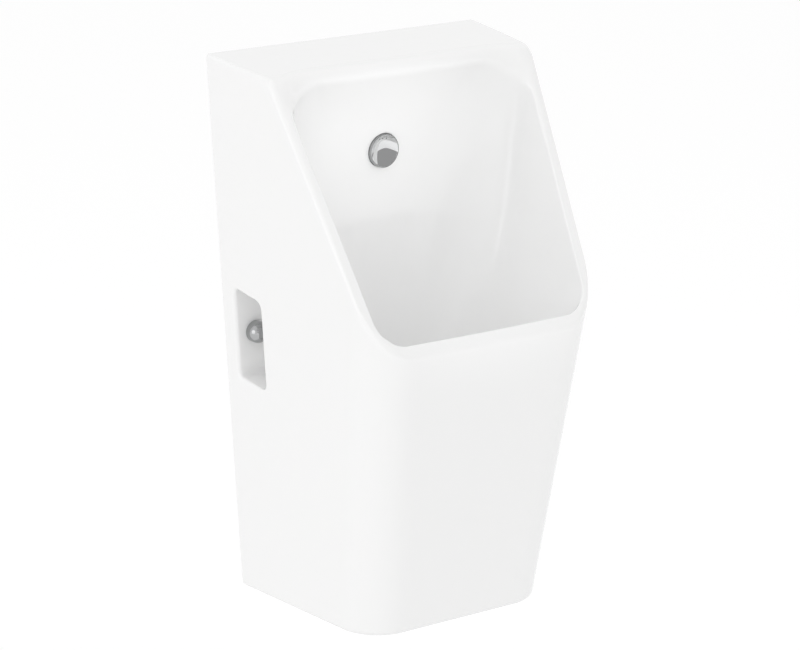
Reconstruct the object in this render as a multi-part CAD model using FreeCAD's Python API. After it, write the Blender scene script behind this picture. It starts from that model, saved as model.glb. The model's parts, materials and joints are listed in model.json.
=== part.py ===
import FreeCAD, Part
import math
import os
from FreeCAD import Vector

# A wall-hung urinal. Lengths are in millimetres. Heights are measured up from the
# underside of the ceramic and depths out from the wall, towards -Y. The finished
# pieces are lowered at the end, so that the origin lies between the two wall studs.

# Ceramic, outside
body_height = 580.0
top_width = 346.0            # across the back of the top
bottom_width = 250.0         # across the back of the underside
front_narrowing = 13.6       # width lost between the wall and the lip
top_depth = 105.0
top_fall = 10.0              # how far the top drops towards the room
lip_depth = 259.0
lip_height = 308.0
bottom_reach = 70.0          # from the drain out to the front of the underside
front_corner_r = 46.0
rim_round = 7.5
under_round = 6.0
back_round = 3.0
wall = 11.0

# Bowl
rim_width = 13.0
brow_rim_width = 6.5
lip_rim_width = 17.0
rim_inner_round = 1.8
brow_corner_r = 45.0         # upper corners of the opening
lip_corner_r = 32.0          # lower corners of the opening
mouth_proud = 2.0            # the bowl's first section stands this far off the rim
bowl_back_depth = 72.0       # back wall of the bowl at the spray head, out from the wall
floor_height = 172.0
floor_depth = 146.0          # centre of the drain, out from the wall
floor_gap = 2.5              # flat ring of floor left round the drain
bowl_steps = 16
bowl_bunching_share = 1.6    # crowds the sections towards the rim
back_power_share = 4.0       # flatness of the back wall
front_power_share = 1.6      # steepness of the front wall
side_power_share = 2.0       # how fast the sides close in
fullness_share = 0.97        # roundness of the lowest sections

# Side windows and the pockets behind them
window_back_depth = 22.0
window_front_depth = 67.2
window_height = 95.4
window_fall = 5.8            # how far the window drops towards the room
window_drop = 1.1            # from the stud's axis down to the window's middle
window_corner_r = 6.0
window_brow_r = 11.0         # its upper front corner
window_edge_round = 2.0
pocket_reach = 21.0          # from the stud's axis to the pocket's end
pocket_wall = 8.0

# Wall studs and their caps
stud_height = 286.0
stud_inset = 24.0            # from the side at half height to the stud's axis
stud_r = 4.0
stud_wall_r = 5.0            # the end that screws into the wall's insert
stud_step_gap = 0.5          # from the wall's face to the thicker end
stud_wall_length = 22.0
stud_end_gap = 3.5           # from the nut to the stud's end
stud_hole_r = 7.0
bush_collar = 2.0
washer_r = 8.4
washer_thickness = 1.6
nut_across = 13.0
nut_height = 6.5
ring_wall = 1.7
ring_height = 3.0
cap_r = 11.6
cap_skin = 0.9
cap_skirt = 5.5

# Spray head
spray_drop = 108.5           # from the top's back edge down to the axis
spray_seat = 4.0             # depth of its seat in the back wall
spray_boss_r = 21.0
spray_boss = 3.0             # how far the boss stands out behind the back wall
spray_flange_r = 18.0
spray_flange_thickness = 7.8
spray_rim = 2.1              # flange left round the insert
spray_flange_round = 0.8
spray_hole_gap = 1.1
spray_gasket_thickness = 1.2
spray_shank_r = 10.4
spray_shank_wall = 3.4
spray_shank_reach = 28.0     # length of shank behind the ceramic
insert_thickness = 5.5
insert_dish = 4.4
insert_rim = 0.9
insert_tail_length = 14.0
insert_tail_wall = 2.0
spray_jet_r = 0.8
spray_jet_count = 3
spray_jet_circle_r = 3.4
spray_jet_pitch = 40.0       # degrees between jets
oring_r = 0.9                # thickness radius
spray_washer_r = 17.0
spray_washer_thickness = 2.5
spray_nut_across = 30.0
spray_nut_height = 8.0
regulator_thickness = 4.0
regulator_hole_r = 1.1
regulator_hole_count = 6
regulator_hole_circle_r = 4.0

# Water inlet
inlet_r = 7.5
inlet_wall = 1.5
inlet_wall_length = 25.0
inlet_collar = 3.0
inlet_bead_r = 9.2
inlet_bead = 3.0             # length of the stop bead
inlet_bead_depth = 9.0       # where the free spigot starts
inlet_web = 2.0              # thickness of the filter web in the bore
inlet_web_hole_r = 1.1
inlet_web_hole_count = 6
inlet_web_circle_r = 3.6
inlet_seal_thickness = 2.0
inlet_nut_across = 27.0
inlet_nut_grip = 12.0        # length over the shank
inlet_nut_shoulder = 4.0

# Drain
drain_hole_gap = 1.5
drain_flange_r = 31.5
drain_flange_rim = 4.6       # flange left round the strainer
drain_gasket_thickness = 1.5
drain_tail_r = 22.5
drain_tail_wall = 2.6
strainer_ledge = 1.4         # flange under the strainer's edge
strainer_thickness = 2.4
strainer_proud = 0.5
strainer_hole_r = 2.0
strainer_ring_counts = (6, 12)
strainer_ring_pitch = 8.5
strainer_knob_r = 4.0
strainer_knob_height = 6.0
drain_washer_r = 33.0
drain_washer_thickness = 2.5
drain_nut_across = 60.0
drain_nut_height = 9.0

# Trap
trap_room = 4.2              # between the drain's locknut and the trap's nut
trap_height = 82.0           # of the cup
trap_r = 42.0
trap_wall = 3.0
trap_neck = 25.0             # length of the neck above the cup
trap_neck_wall = 4.1
trap_socket = 13.0           # depth of the seat where the dip tube hangs
dip_step = 1.9               # how much slimmer the dip tube is than the drain's tail
dip_wall = 2.0
dip_floor_gap = 26.0         # from the cup's lower edge up to the dip tube
dip_flange = 4.0
trap_seal_height = 4.0
trap_nut_across = 66.0
trap_nut_grip = 12.0
trap_nut_shoulder = 4.0
cleaning_cap_wall = 4.1
cleaning_cap_floor = 4.0
cleaning_cap_skirt = 20.0
cleaning_seal_thickness = 3.0
cleaning_hex_across = 34.0
cleaning_hex_height = 8.0
cleaning_rib_count = 12
cleaning_rib_r = 1.5

# Outlet
outlet_rise = 46.0           # from the cup's lower edge up to the outlet's axis
outlet_r = 25.0
outlet_wall = 2.5
outlet_wall_length = 60.0
outlet_socket_wall = 3.6
outlet_bead_r = 27.6
outlet_bead = 4.0            # length of the stop bead
outlet_bead_depth = 26.0     # where the free spigot starts
outlet_socket_length = 24.0
outlet_insertion = 18.0
outlet_seal_thickness = 4.0
outlet_nut_across = 72.0
outlet_nut_grip = 14.0
outlet_nut_shoulder = 4.0
service_gap = 4.0            # round the cleaning cap, in the underside

# Fits
free_gap = 0.4               # between round pieces that slide or turn
face_gap = 0.3               # between faces of pieces that move apart
slip_gap = 0.1               # ring in its bore
overrun = 20.0               # how far every cut runs past its face
snug = 0.01                  # closeness that counts as lying on a face

# Values worked out from the sizes above
bottom_depth = floor_depth + bottom_reach
brow = (top_depth, body_height - top_fall)
lip = (lip_depth, lip_height)
rim_length = math.hypot(lip[0] - brow[0], brow[1] - lip[1])
rim_down = ((lip[0] - brow[0]) / rim_length, (lip[1] - brow[1]) / rim_length)
rim_out = (-rim_down[1], rim_down[0])
body_corners = [(0, 0), (bottom_depth, 0), lip, brow, (0, body_height)]

stud_spacing = (top_width + bottom_width) / 2 - 2 * stud_inset
hanger_x = stud_spacing / 2
pocket_inner_x = hanger_x - pocket_reach
window_low = stud_height - window_drop - (window_height - window_fall) / 2
window_high = window_low + window_height
bush_face_depth = window_back_depth + bush_collar
washer_face_depth = bush_face_depth + washer_thickness
nut_face_depth = washer_face_depth + nut_height
stud_end_depth = nut_face_depth + stud_end_gap
ring_r = cap_r - cap_skin - face_gap
bush_collar_r = ring_r - ring_wall - slip_gap

spray_height = body_height - spray_drop
spray_seat_depth = bowl_back_depth - spray_seat
spray_flange_depth = spray_seat_depth + spray_gasket_thickness
spray_face_depth = spray_flange_depth + spray_flange_thickness
spray_rear_depth = bowl_back_depth - wall - spray_boss
spray_shank_end = spray_rear_depth - spray_shank_reach
spray_hole_r = spray_shank_r + spray_hole_gap
spray_bore_r = spray_shank_r - spray_shank_wall
insert_r = spray_flange_r - spray_rim - free_gap
insert_back_depth = spray_face_depth - insert_thickness
insert_tail_depth = insert_back_depth - insert_tail_length
insert_tail_r = spray_bore_r - free_gap
insert_tail_bore_r = insert_tail_r - insert_tail_wall
insert_web = insert_thickness - insert_dish
oring_low = insert_tail_depth + 2 * oring_r
oring_high = oring_low + 2 * oring_r
inlet_bore_r = inlet_r - inlet_wall
inlet_collar_r = spray_shank_r - face_gap

floor_r = drain_flange_r + floor_gap
drain_hole_r = drain_tail_r + drain_hole_gap
drain_flange_low = floor_height + drain_gasket_thickness
strainer_r = drain_flange_r - drain_flange_rim - free_gap
strainer_seat_height = drain_flange_low + strainer_ledge + face_gap
drain_flange_top = strainer_seat_height + strainer_thickness - strainer_proud
drain_nut_low = floor_height - wall - drain_washer_thickness - drain_nut_height
trap_seal_top = drain_nut_low - trap_room - trap_nut_shoulder - face_gap
trap_neck_top = trap_seal_top - trap_seal_height
trap_shoulder = trap_neck_top - trap_neck
trap_low = trap_shoulder - trap_height
trap_seat_height = trap_neck_top - trap_socket
drain_tail_end = trap_seat_height + dip_flange + free_gap
trap_neck_r = drain_tail_r + free_gap + trap_neck_wall
dip_r = drain_tail_r - dip_step
dip_low = trap_low + dip_floor_gap
cleaning_cap_r = trap_r + free_gap + cleaning_cap_wall
service_hole_r = cleaning_cap_r + cleaning_rib_r + service_gap
outlet_height = trap_low + outlet_rise
outlet_socket_r = outlet_r + free_gap + outlet_socket_wall
outlet_socket_depth = floor_depth - trap_r - outlet_socket_length


def at(x, depth, height):
    return Vector(x, -depth, height)


def side(depth, height):
    back = bottom_width / 2 + (top_width - bottom_width) / 2 * height / body_height
    return back - front_narrowing / 2 * depth / lip_depth


def middle(edge):
    return edge.valueAt((edge.FirstParameter + edge.LastParameter) / 2)


def line_distance(v, a, b):
    run, rise = b[0] - a[0], b[1] - a[1]
    return (run * (v.z - a[1]) - rise * (-v.y - a[0])) / math.hypot(run, rise)


def off_side(v):
    return side(-v.y, v.z) - abs(v.x)


def off_front(v):
    return line_distance(v, body_corners[1], lip)


def off_rim(v):
    return line_distance(v, lip, brow)


def off_top(v):
    return line_distance(v, brow, body_corners[4])


def upright(edge, inset):
    v = middle(edge)
    return abs(off_side(v) - inset) < snug and abs(off_front(v) - inset) < snug


def touches(edge, solid):
    return solid.distToShape(Part.Vertex(middle(edge)))[0] < snug


def edges_on(shape, *planes):
    return [e for e in shape.Edges if all(abs(p(middle(e))) < snug for p in planes)]


# Round bars, tubes and hexagons along the depth (y) and along the height (z)

def bar_y(r, near, far, x, height):
    return Part.makeCylinder(r, far - near, at(x, near, height), Vector(0, -1, 0))


def tube_y(r, bore, near, far, x, height):
    return bar_y(r, near, far, x, height).cut(bar_y(bore, near - overrun, far + overrun, x, height))


def bar_z(r, low, high, depth):
    return Part.makeCylinder(r, high - low, at(0, depth, low), Vector(0, 0, 1))


def tube_z(r, bore, low, high, depth):
    return bar_z(r, low, high, depth).cut(bar_z(bore, low - overrun, high + overrun, depth))


def hexagon(across):
    r = across / math.sqrt(3)
    turns = [math.radians(60 * k) for k in range(7)]
    return [(r * math.cos(t), r * math.sin(t)) for t in turns]


def hex_y(across, near, far, x, height):
    ring = [at(x + a, near, height + b) for a, b in hexagon(across)]
    return Part.Face(Part.makePolygon(ring)).extrude(Vector(0, near - far, 0))


def hex_z(across, low, high, depth):
    ring = [at(a, depth + b, low) for a, b in hexagon(across)]
    return Part.Face(Part.makePolygon(ring)).extrude(Vector(0, 0, high - low))


def rounded_loop(corners, radii):
    # straight runs joined by tangent arcs, one arc at each corner
    runs = []
    for k, corner in enumerate(corners):
        to_last = (corners[k - 1] - corner).normalize()
        to_next = (corners[(k + 1) % len(corners)] - corner).normalize()
        half = to_last.getAngle(to_next) / 2
        reach = radii[k] / math.tan(half)
        inward = (to_last + to_next).normalize()
        crown = corner + inward * (radii[k] / math.sin(half) - radii[k])
        runs.append((corner + to_last * reach, crown, corner + to_next * reach))
    edges = []
    for k, (start, crown, end) in enumerate(runs):
        edges.append(Part.LineSegment(runs[k - 1][2], start).toShape())
        edges.append(Part.Arc(start, crown, end).toShape())
    return Part.Wire(edges)


def lathe_y(outline, x, height):
    # outline holds (radius, depth) pairs, turned about the depth axis at x and height
    ring = [at(x + r, d, height) for r, d in outline]
    face = Part.Face(Part.makePolygon(ring + ring[:1]))
    return face.revolve(at(x, 0, height), Vector(0, 1, 0), 360)


def pair(make):
    return Part.makeCompound([make(-hanger_x), make(hanger_x)])


# Ceramic

def inset_corners(insets):
    lines = []
    count = len(body_corners)
    for k, (d, h) in enumerate(body_corners):
        d2, h2 = body_corners[(k + 1) % count]
        length = math.hypot(d2 - d, h2 - h)
        run, rise = (d2 - d) / length, (h2 - h) / length
        lines.append((d - rise * insets[k], h + run * insets[k], run, rise))
    points = []
    for k in range(count):
        d, h, run, rise = lines[k - 1]
        d2, h2, run2, rise2 = lines[k]
        along = ((d2 - d) * rise2 - (h2 - h) * run2) / (run * rise2 - rise * run2)
        points.append((d + run * along, h + rise * along))
    return points


def body_block(inset, back_inset):
    # the body's five-sided side view, carried across and closed in by the tapering sides
    corners = inset_corners((inset, inset, inset, inset, back_inset))
    profile = [at(-top_width, d, h) for d, h in corners]
    prism = Part.Face(Part.makePolygon(profile + profile[:1])).extrude(Vector(2 * top_width, 0, 0))
    levels = []
    for h in (-overrun, body_height + overrun):
        near, far = -2 * overrun, lip_depth + overrun
        ring = [at(s * (side(d, h) - inset), d, h) for s, d in ((1, near), (1, far), (-1, far), (-1, near))]
        levels.append(Part.makePolygon(ring + ring[:1]))
    block = prism.common(Part.makeLoft(levels, True, True))
    uprights = [e for e in block.Edges if upright(e, inset)]
    return block.makeFillet(front_corner_r - inset, uprights)


def bowl_section(turn, grow):
    fall, reach = math.sin(turn), math.cos(turn)
    inner = (brow[0] + rim_down[0] * brow_rim_width, brow[1] + rim_down[1] * brow_rim_width)
    outer = (lip[0] - rim_down[0] * lip_rim_width, lip[1] - rim_down[1] * lip_rim_width)
    back_top = [c + o * mouth_proud for c, o in zip(inner, rim_out)]
    front_top = [c + o * mouth_proud for c, o in zip(outer, rim_out)]
    back_foot, front_foot = floor_depth - floor_r, floor_depth + floor_r
    at_spray = (back_top[1] - spray_height) / (back_top[1] - floor_height)
    sunk = back_top[0] + (back_foot - back_top[0]) * at_spray - bowl_back_depth
    hollow = sunk / (1 - abs(1 - 2 * at_spray) ** back_power_share)
    bulge = hollow * (1 - abs(1 - 2 * fall) ** back_power_share)
    back = [back_top[0] + (back_foot - back_top[0]) * fall - bulge - grow,
            back_top[1] + (floor_height - back_top[1]) * fall - grow * fall]
    front = [front_foot + (front_top[0] - front_foot) * reach ** front_power_share + grow,
             front_top[1] + (floor_height - front_top[1]) * fall - grow * fall]
    closing = reach ** side_power_share
    half_back = floor_r + (side(*back) - rim_width - floor_r) * closing + grow
    half_front = floor_r + (side(*front) - rim_width - floor_r) * closing + grow
    half_length = math.hypot(back[0] - front[0], back[1] - front[1]) / 2
    ramp = 1 - (1 - fall) ** 2
    round_back = fullness_share * min(half_back, half_length)
    round_front = fullness_share * min(half_front, half_length)
    r_back = brow_corner_r + (round_back - brow_corner_r) * ramp
    r_front = lip_corner_r + (round_front - lip_corner_r) * ramp
    corners = [at(-half_front, *front), at(half_front, *front), at(half_back, *back), at(-half_back, *back)]
    return rounded_loop(corners, [r_front, r_front, r_back, r_back])


def bowl(grow):
    turns = [math.pi / 2 * (k / bowl_steps) ** bowl_bunching_share for k in range(bowl_steps + 1)]
    return Part.makeLoft([bowl_section(t, grow) for t in turns], True, False)


def window_cut(sign):
    low, high = window_low, window_high
    near, far = window_back_depth, window_front_depth
    start = sign * pocket_inner_x
    corners = [at(start, near, low), at(start, far, low - window_fall),
               at(start, far, high - window_fall), at(start, near, high)]
    radii = [window_corner_r, window_corner_r, window_brow_r, window_corner_r]
    return Part.Face(rounded_loop(corners, radii)).extrude(Vector(sign * top_width, 0, 0))


def pocket_block(sign):
    depth = window_front_depth + pocket_wall
    height = window_height + window_fall + 2 * pocket_wall
    start = pocket_inner_x - pocket_wall if sign > 0 else pocket_wall - pocket_inner_x - top_width
    corner = Vector(start, -depth, window_low - window_fall - pocket_wall)
    return Part.makeBox(top_width, depth + 2 * overrun, height, corner)


def in_window(edge):
    v = middle(edge)
    between = window_back_depth - snug < -v.y < window_front_depth + snug
    return between and window_low - window_fall - snug < v.z < window_high + snug


def ceramic_body():
    body = body_block(0, 0)
    body = body.makeFillet(rim_round, edges_on(body, off_rim) + edges_on(body, off_top, off_side))
    body = body.makeFillet(under_round, [e for e in edges_on(body, lambda v: v.z) if middle(e).y < -snug])
    body = body.makeFillet(back_round, edges_on(body, lambda v: v.y))
    space = body_block(wall, -overrun).cut(bowl(wall))
    for sign in (-1, 1):
        space = space.cut(pocket_block(sign))
    hollow = bowl(0)
    body = body.cut(space).cut(hollow)
    body = body.makeFillet(rim_inner_round, [e for e in edges_on(body, off_rim) if touches(e, hollow)])
    for sign in (-1, 1):
        body = body.cut(window_cut(sign))
        far = window_back_depth + overrun
        body = body.cut(bar_y(stud_hole_r, -overrun, far, sign * hanger_x, stud_height))
    body = body.makeFillet(window_edge_round, [e for e in edges_on(body, off_side) if in_window(e)])
    middle_depth = bowl_back_depth - wall / 2
    body = body.fuse(bar_y(spray_boss_r, spray_rear_depth, middle_depth, 0, spray_height))
    far = bowl_back_depth + overrun
    body = body.cut(bar_y(spray_flange_r + free_gap, spray_seat_depth, far, 0, spray_height))
    body = body.cut(bar_y(spray_hole_r, 0, far, 0, spray_height))
    low = floor_height - wall - overrun
    body = body.cut(bar_z(drain_hole_r, low, floor_height + overrun, floor_depth))
    return body.cut(bar_z(service_hole_r, -overrun, wall + overrun, floor_depth))


# Wall studs, from the wall outwards: bush, washer, nut, snap ring and cap

def stud(x):
    wall_end = bar_y(stud_wall_r, -stud_wall_length, -stud_step_gap, x, stud_height)
    return wall_end.fuse(bar_y(stud_r, -stud_step_gap, stud_end_depth, x, stud_height))


def stud_bush(x):
    sleeve = bar_y(stud_hole_r - face_gap, 0, window_back_depth, x, stud_height)
    collar = bar_y(bush_collar_r, window_back_depth, bush_face_depth, x, stud_height)
    body = sleeve.fuse(collar).removeSplitter()
    return body.cut(bar_y(stud_r + face_gap, -overrun, bush_face_depth + overrun, x, stud_height))


def stud_washer(x):
    return tube_y(washer_r, stud_r + face_gap, bush_face_depth, washer_face_depth, x, stud_height)


def stud_nut(x):
    nut = hex_y(nut_across, washer_face_depth, nut_face_depth, x, stud_height)
    return nut.cut(bar_y(stud_r + face_gap, 0, nut_face_depth + overrun, x, stud_height))


def snap_ring(x):
    far = window_back_depth + ring_height
    return tube_y(ring_r, ring_r - ring_wall, window_back_depth, far, x, stud_height)


def dome(x, r, near, skirt_end):
    # a round skirt with half a ball in front of it
    ball = Part.makeSphere(r, at(x, skirt_end, stud_height))
    return bar_y(r, near, skirt_end, x, stud_height).fuse(ball).removeSplitter()


def stud_cap(x):
    near = window_back_depth + face_gap
    skirt_end = near + cap_skirt
    shell = dome(x, cap_r, near - cap_r, skirt_end).cut(dome(x, cap_r - cap_skin, near - cap_r, skirt_end))
    return shell.common(bar_y(cap_r + overrun, near, skirt_end + cap_r + overrun, x, stud_height))


# Spray head, from the bowl backwards

def spray_body():
    outline = [(spray_bore_r, spray_shank_end), (spray_shank_r, spray_shank_end),
               (spray_shank_r, spray_flange_depth), (spray_flange_r, spray_flange_depth),
               (spray_flange_r, spray_face_depth - spray_flange_round),
               (spray_flange_r - spray_flange_round, spray_face_depth),
               (insert_r + free_gap, spray_face_depth), (insert_r + free_gap, insert_back_depth - face_gap),
               (spray_bore_r, insert_back_depth - face_gap)]
    return lathe_y(outline, 0, spray_height)


def dish_radius():
    mouth = insert_r - insert_rim
    return (mouth ** 2 + insert_dish ** 2) / (2 * insert_dish)


def spray_insert():
    disc = bar_y(insert_r, insert_back_depth, spray_face_depth, 0, spray_height)
    tail = bar_y(insert_tail_r, insert_tail_depth, insert_back_depth, 0, spray_height)
    body = disc.fuse(tail).removeSplitter()
    floor = spray_face_depth - insert_dish
    body = body.cut(Part.makeSphere(dish_radius(), at(0, floor + dish_radius(), spray_height)))
    bore_end = insert_back_depth - insert_web
    body = body.cut(bar_y(insert_tail_bore_r, insert_tail_depth - overrun, bore_end, 0, spray_height))
    groove = bar_y(insert_r, oring_low, oring_high, 0, spray_height)
    body = body.cut(groove.cut(bar_y(insert_tail_r - oring_r, oring_low, oring_high, 0, spray_height)))
    for k in range(spray_jet_count):
        turn = math.radians(spray_jet_pitch * (k - (spray_jet_count - 1) / 2))
        x, drop = spray_jet_circle_r * math.sin(turn), spray_jet_circle_r * math.cos(turn)
        body = body.cut(bar_y(spray_jet_r, insert_tail_depth, floor + overrun, x, spray_height - drop))
    return body


def insert_oring():
    return tube_y(spray_bore_r - slip_gap, insert_tail_r - oring_r + slip_gap, oring_low + slip_gap,
                  oring_high - slip_gap, 0, spray_height)


def spray_gasket():
    return tube_y(spray_flange_r, spray_hole_r, spray_seat_depth, spray_flange_depth, 0, spray_height)


def spray_washer():
    near = spray_rear_depth - spray_washer_thickness
    return tube_y(spray_washer_r, spray_shank_r + face_gap, near, spray_rear_depth, 0, spray_height)


def spray_locknut():
    far = spray_rear_depth - spray_washer_thickness
    nut = hex_y(spray_nut_across, far - spray_nut_height, far, 0, spray_height)
    return nut.cut(bar_y(spray_shank_r + face_gap, 0, far + overrun, 0, spray_height))


def flow_regulator():
    near = spray_shank_end + inlet_nut_grip - regulator_thickness
    disc = bar_y(spray_bore_r - slip_gap, near, near + regulator_thickness, 0, spray_height)
    for k in range(regulator_hole_count):
        turn = 2 * math.pi * k / regulator_hole_count
        x, rise = regulator_hole_circle_r * math.cos(turn), regulator_hole_circle_r * math.sin(turn)
        disc = disc.cut(bar_y(regulator_hole_r, near - overrun, near + overrun, x, spray_height + rise))
    return disc


# Water inlet, from the spray head's shank to the wall

def inlet_seal():
    near = spray_shank_end - inlet_seal_thickness
    return tube_y(inlet_collar_r, spray_bore_r, near, spray_shank_end, 0, spray_height)


def inlet_tail():
    far = spray_shank_end - inlet_seal_thickness
    collar = bar_y(inlet_collar_r, far - inlet_collar, far, 0, spray_height)
    bead = bar_y(inlet_bead_r, inlet_bead_depth, inlet_bead_depth + inlet_bead, 0, spray_height)
    tube = bar_y(inlet_r, -inlet_wall_length, far, 0, spray_height)
    body = tube.fuse(collar).fuse(bead).removeSplitter()
    web_end = inlet_bead_depth + inlet_web
    body = body.cut(bar_y(inlet_bore_r, -inlet_wall_length - overrun, inlet_bead_depth, 0, spray_height))
    body = body.cut(bar_y(inlet_bore_r, web_end, far + overrun, 0, spray_height))
    for k in range(inlet_web_hole_count):
        turn = 2 * math.pi * k / inlet_web_hole_count
        x, rise = inlet_web_circle_r * math.cos(turn), inlet_web_circle_r * math.sin(turn)
        body = body.cut(bar_y(inlet_web_hole_r, inlet_bead_depth - inlet_web, far, x, spray_height + rise))
    return body


def inlet_union_nut():
    shoulder = spray_shank_end - inlet_seal_thickness - inlet_collar - face_gap
    near, far = shoulder - inlet_nut_shoulder, spray_shank_end + inlet_nut_grip
    nut = hex_y(inlet_nut_across, near, far, 0, spray_height)
    nut = nut.cut(bar_y(spray_shank_r + free_gap, shoulder, far + overrun, 0, spray_height))
    return nut.cut(bar_y(inlet_r + free_gap, near - overrun, shoulder + overrun, 0, spray_height))


# Drain, from the bowl downwards

def drain_strainer():
    low = strainer_seat_height
    plate = bar_z(strainer_r, low, low + strainer_thickness, floor_depth)
    for ring, count in enumerate(strainer_ring_counts, 1):
        for k in range(count):
            turn = 2 * math.pi * k / count
            x, d = ring * strainer_ring_pitch * math.cos(turn), ring * strainer_ring_pitch * math.sin(turn)
            hole = bar_z(strainer_hole_r, low - overrun, low + overrun, floor_depth + d)
            hole.translate(Vector(x, 0, 0))
            plate = plate.cut(hole)
    knob = bar_z(strainer_knob_r, low, low + strainer_thickness + strainer_knob_height, floor_depth)
    return plate.fuse(knob).removeSplitter()


def drain_fitting():
    flange = bar_z(drain_flange_r, drain_flange_low, drain_flange_top, floor_depth)
    tail = bar_z(drain_tail_r, drain_tail_end, drain_flange_low, floor_depth)
    body = flange.fuse(tail).removeSplitter()
    high = drain_flange_top + overrun
    recess = bar_z(strainer_r + free_gap, strainer_seat_height - face_gap, high, floor_depth)
    return body.cut(recess).cut(bar_z(drain_tail_r - drain_tail_wall, 0, high, floor_depth))


def drain_gasket():
    return tube_z(drain_flange_r, drain_hole_r, floor_height, drain_flange_low, floor_depth)


def drain_washer():
    high = floor_height - wall
    return tube_z(drain_washer_r, drain_tail_r + face_gap, high - drain_washer_thickness, high, floor_depth)


def drain_locknut():
    nut = hex_z(drain_nut_across, drain_nut_low, drain_nut_low + drain_nut_height, floor_depth)
    return nut.cut(bar_z(drain_tail_r + face_gap, 0, floor_height, floor_depth))


# Trap under the drain, with its cleaning cap, and the outlet to the wall

def trap_body():
    cup = bar_z(trap_r, trap_low, trap_shoulder, floor_depth)
    neck = bar_z(trap_neck_r, trap_shoulder, trap_neck_top, floor_depth)
    socket = bar_y(outlet_socket_r, outlet_socket_depth, floor_depth, 0, outlet_height)
    body = cup.fuse(neck).fuse(socket).removeSplitter()
    body = body.cut(bar_z(trap_r - trap_wall, trap_low - overrun, trap_shoulder - trap_wall, floor_depth))
    body = body.cut(bar_z(drain_tail_r + free_gap, trap_seat_height, trap_neck_top + overrun, floor_depth))
    body = body.cut(bar_z(dip_r + free_gap, trap_low, trap_neck_top, floor_depth))
    pipe_end = outlet_socket_depth + outlet_insertion + face_gap
    body = body.cut(bar_y(outlet_r + free_gap, 0, pipe_end, 0, outlet_height))
    return body.cut(bar_y(outlet_r - outlet_wall, 0, floor_depth, 0, outlet_height))


def dip_tube():
    flange = bar_z(drain_tail_r, trap_seat_height, trap_seat_height + dip_flange, floor_depth)
    tube = bar_z(dip_r, dip_low, trap_seat_height, floor_depth)
    body = flange.fuse(tube).removeSplitter()
    return body.cut(bar_z(dip_r - dip_wall, dip_low - overrun, trap_neck_top, floor_depth))


def trap_seal():
    return tube_z(trap_neck_r, drain_tail_r + slip_gap, trap_neck_top, trap_seal_top, floor_depth)


def trap_nut():
    shoulder = trap_seal_top + face_gap
    low, high = trap_neck_top - trap_nut_grip, shoulder + trap_nut_shoulder
    nut = hex_z(trap_nut_across, low, high, floor_depth)
    nut = nut.cut(bar_z(trap_neck_r + free_gap, low - overrun, shoulder, floor_depth))
    return nut.cut(bar_z(drain_tail_r + free_gap, low, high + overrun, floor_depth))


def cleaning_seal():
    low = trap_low - cleaning_seal_thickness
    return tube_z(trap_r, trap_r - trap_wall, low, trap_low - face_gap, floor_depth)


def cleaning_cap():
    top = trap_low - cleaning_seal_thickness
    low = top - cleaning_cap_floor
    high = top + cleaning_cap_skirt
    cup = bar_z(cleaning_cap_r, low, high, floor_depth)
    for k in range(cleaning_rib_count):
        turn = 2 * math.pi * k / cleaning_rib_count
        rib = bar_z(cleaning_rib_r, low, high, floor_depth + cleaning_cap_r * math.sin(turn))
        rib.translate(Vector(cleaning_cap_r * math.cos(turn), 0, 0))
        cup = cup.fuse(rib)
    cup = cup.cut(bar_z(trap_r + free_gap, top, trap_shoulder, floor_depth))
    key = hex_z(cleaning_hex_across, low - cleaning_hex_height, low, floor_depth)
    return cup.fuse(key).removeSplitter()


def outlet_pipe():
    far = outlet_socket_depth + outlet_insertion
    bead = bar_y(outlet_bead_r, outlet_bead_depth, outlet_bead_depth + outlet_bead, 0, outlet_height)
    near = -outlet_wall_length
    body = bar_y(outlet_r, near, far, 0, outlet_height).fuse(bead).removeSplitter()
    return body.cut(bar_y(outlet_r - outlet_wall, near - overrun, far + overrun, 0, outlet_height))


def outlet_seal():
    near = outlet_socket_depth - outlet_seal_thickness
    return tube_y(outlet_socket_r, outlet_r + slip_gap, near, outlet_socket_depth, 0, outlet_height)


def outlet_nut():
    shoulder = outlet_socket_depth - outlet_seal_thickness - face_gap
    near, far = shoulder - outlet_nut_shoulder, outlet_socket_depth + outlet_nut_grip
    nut = hex_y(outlet_nut_across, near, far, 0, outlet_height)
    nut = nut.cut(bar_y(outlet_socket_r + free_gap, shoulder, far + overrun, 0, outlet_height))
    return nut.cut(bar_y(outlet_r + free_gap, near - overrun, shoulder + overrun, 0, outlet_height))


pieces = {
    "ceramic_body": ceramic_body(),
    "wall_studs": pair(stud),
    "stud_bushes": pair(stud_bush),
    "stud_washers": pair(stud_washer),
    "stud_nuts": pair(stud_nut),
    "cap_snap_rings": pair(snap_ring),
    "cap_left": stud_cap(-hanger_x),
    "cap_right": stud_cap(hanger_x),
    "spray_body": spray_body(),
    "spray_insert": spray_insert(),
    "insert_oring": insert_oring(),
    "spray_gasket": spray_gasket(),
    "spray_washer": spray_washer(),
    "spray_locknut": spray_locknut(),
    "flow_regulator": flow_regulator(),
    "inlet_seal": inlet_seal(),
    "inlet_tail": inlet_tail(),
    "inlet_union_nut": inlet_union_nut(),
    "drain_strainer": drain_strainer(),
    "drain_fitting": drain_fitting(),
    "drain_gasket": drain_gasket(),
    "drain_washer": drain_washer(),
    "drain_locknut": drain_locknut(),
    "trap_body": trap_body(),
    "dip_tube": dip_tube(),
    "trap_seal": trap_seal(),
    "trap_nut": trap_nut(),
    "cleaning_seal": cleaning_seal(),
    "cleaning_cap": cleaning_cap(),
    "outlet_pipe": outlet_pipe(),
    "outlet_seal": outlet_seal(),
    "outlet_nut": outlet_nut(),
}

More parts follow.
